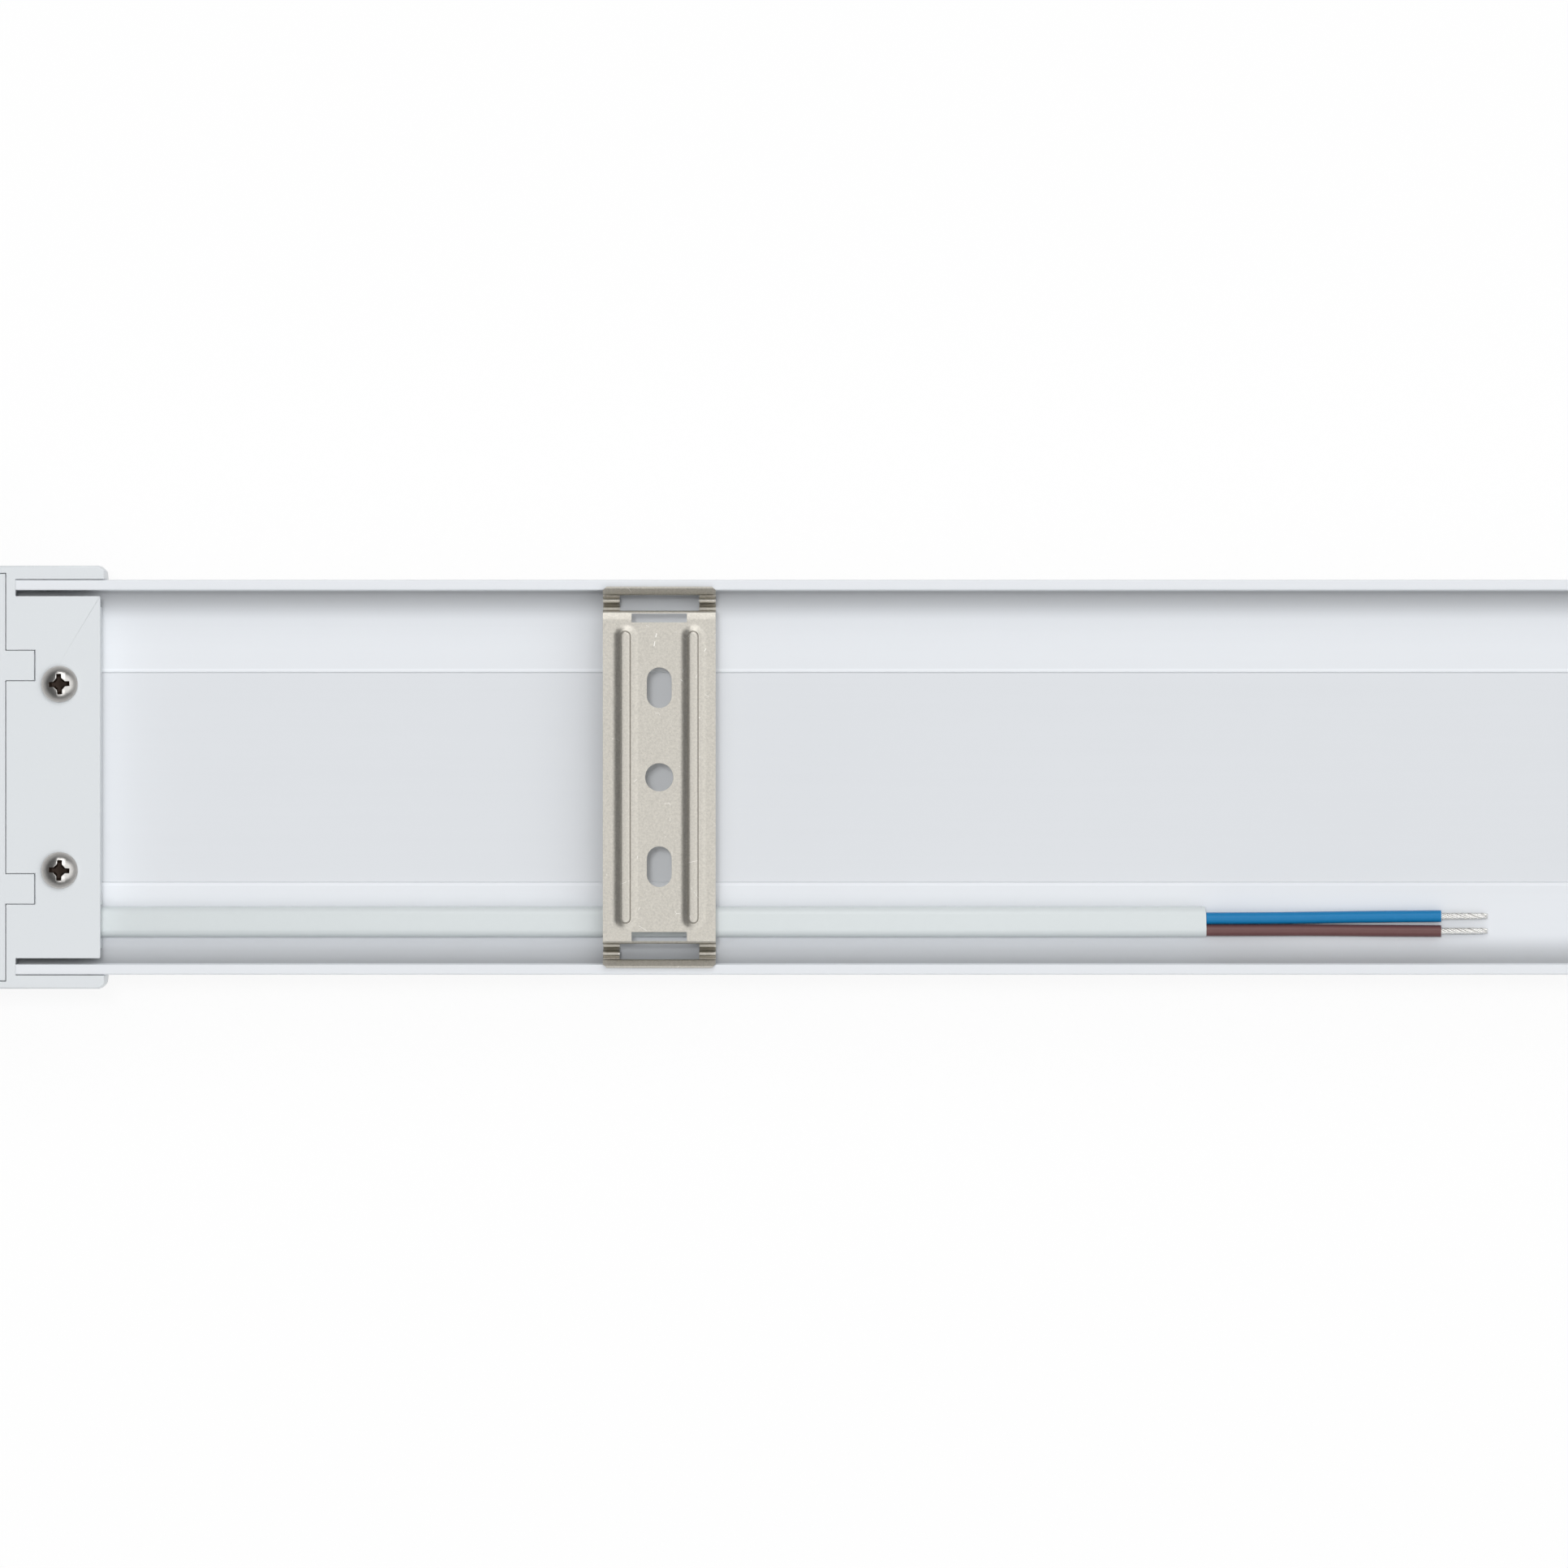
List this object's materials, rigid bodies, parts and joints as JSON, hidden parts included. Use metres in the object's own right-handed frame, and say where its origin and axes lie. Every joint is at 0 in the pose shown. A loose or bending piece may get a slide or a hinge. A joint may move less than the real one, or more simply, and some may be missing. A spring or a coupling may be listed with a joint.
{
  "type": "led batten lamp",
  "caption": "Slim surface batten lamp lying on its front: white extruded housing, rounded milky diffuser, plastic end caps, sliding spring mounting clips and a short supply lead.",
  "frame": {"origin": "middle of the lamp on the plane of its end caps' front faces", "axes": "+X along the lamp away from the end where the lead comes in, +Y across it, +Z from the lit front to the ceiling side"},
  "size_m": [0.6, 0.075, 0.0272],
  "materials": {
    "coated_aluminium": "white powder coat on an extrusion, satin",
    "opal_diffuser": "milky polycarbonate, satin",
    "cap_plastic": "white moulded plastic, fine texture",
    "spring_steel": "nickel-plated spring steel",
    "screw_steel": "nickel-plated screw",
    "sheath_pvc": "white PVC",
    "blue_insulation": "blue PVC",
    "brown_insulation": "brown PVC",
    "tinned_copper": "tinned strands",
    "clamp_nylon": "natural nylon",
    "board_aluminium": "white solder mask on aluminium",
    "led_phosphor": "yellow phosphor in a white body",
    "connector_plastic": "white moulded",
    "case_plastic": "white flame-retardant plastic",
    "tape_foam": "black foam tape",
    "board_laminate": "green solder mask",
    "terminal_plastic": "green moulded",
    "ceramic": "blue epoxy coat",
    "component_black": "black moulded epoxy",
    "film_case": "yellow box",
    "ferrite": "ferrite",
    "winding_wire": "enamelled copper",
    "winding_tape": "yellow tape",
    "capacitor_sleeve": "dark sleeve",
    "red_insulation": "red PVC",
    "black_insulation": "black PVC"
  },
  "bodies": {
    "fixture": {"bridge_rectifier": "component_black", "bulk_capacitor": "capacitor_sleeve", "choke_core": "ferrite", "choke_winding": "winding_wire", "cord_clamp": "clamp_nylon", "cord_clamp_screw": "screw_steel", "diffuser": "opal_diffuser", "driver_board": "board_laminate", "driver_cover": "case_plastic", "driver_input_terminal": "terminal_plastic", "driver_output_terminal": "terminal_plastic", "driver_resistors": "component_black", "driver_tape": "tape_foam", "driver_tray": "case_plastic", "end_cover_left": "cap_plastic", "end_cover_right": "cap_plastic", "end_frame_left": "cap_plastic", "end_frame_right": "cap_plastic", "end_screws_left": "screw_steel", "end_screws_right": "screw_steel", "film_capacitor": "film_case", "fuse_resistor": "ceramic", "housing": "coated_aluminium", "inner_core_blue": "blue_insulation", "inner_core_brown": "brown_insulation", "lead_core_blue": "blue_insulation", "lead_core_brown": "brown_insulation", "lead_sheath": "sheath_pvc", "lead_strands_blue": "tinned_copper", "lead_strands_brown": "tinned_copper", "led_board_a": "board_aluminium", "led_board_b": "board_aluminium", "led_board_connectors": "connector_plastic", "led_chips_a": "led_phosphor", "led_chips_b": "led_phosphor", "link_wire_black": "black_insulation", "link_wire_red": "red_insulation", "output_capacitor": "capacitor_sleeve", "output_diode": "component_black", "output_wire_black": "black_insulation", "output_wire_red": "red_insulation", "switching_ic": "component_black", "transformer_core": "ferrite", "transformer_winding": "winding_tape", "varistor": "ceramic"},
    "clip_left": {"mounting_clip_left": "spring_steel"},
    "clip_right": {"mounting_clip_right": "spring_steel"}
  },
  "joints": [
    {"name": "clip_left_slide", "type": "slide", "parent": "fixture", "child": "clip_left", "axis": [1, 0, 0], "range_m": [-0.0884, 0.1664]},
    {"name": "clip_right_slide", "type": "slide", "parent": "fixture", "child": "clip_right", "axis": [1, 0, 0], "range_m": [-0.1664, 0.0884]}
  ]
}
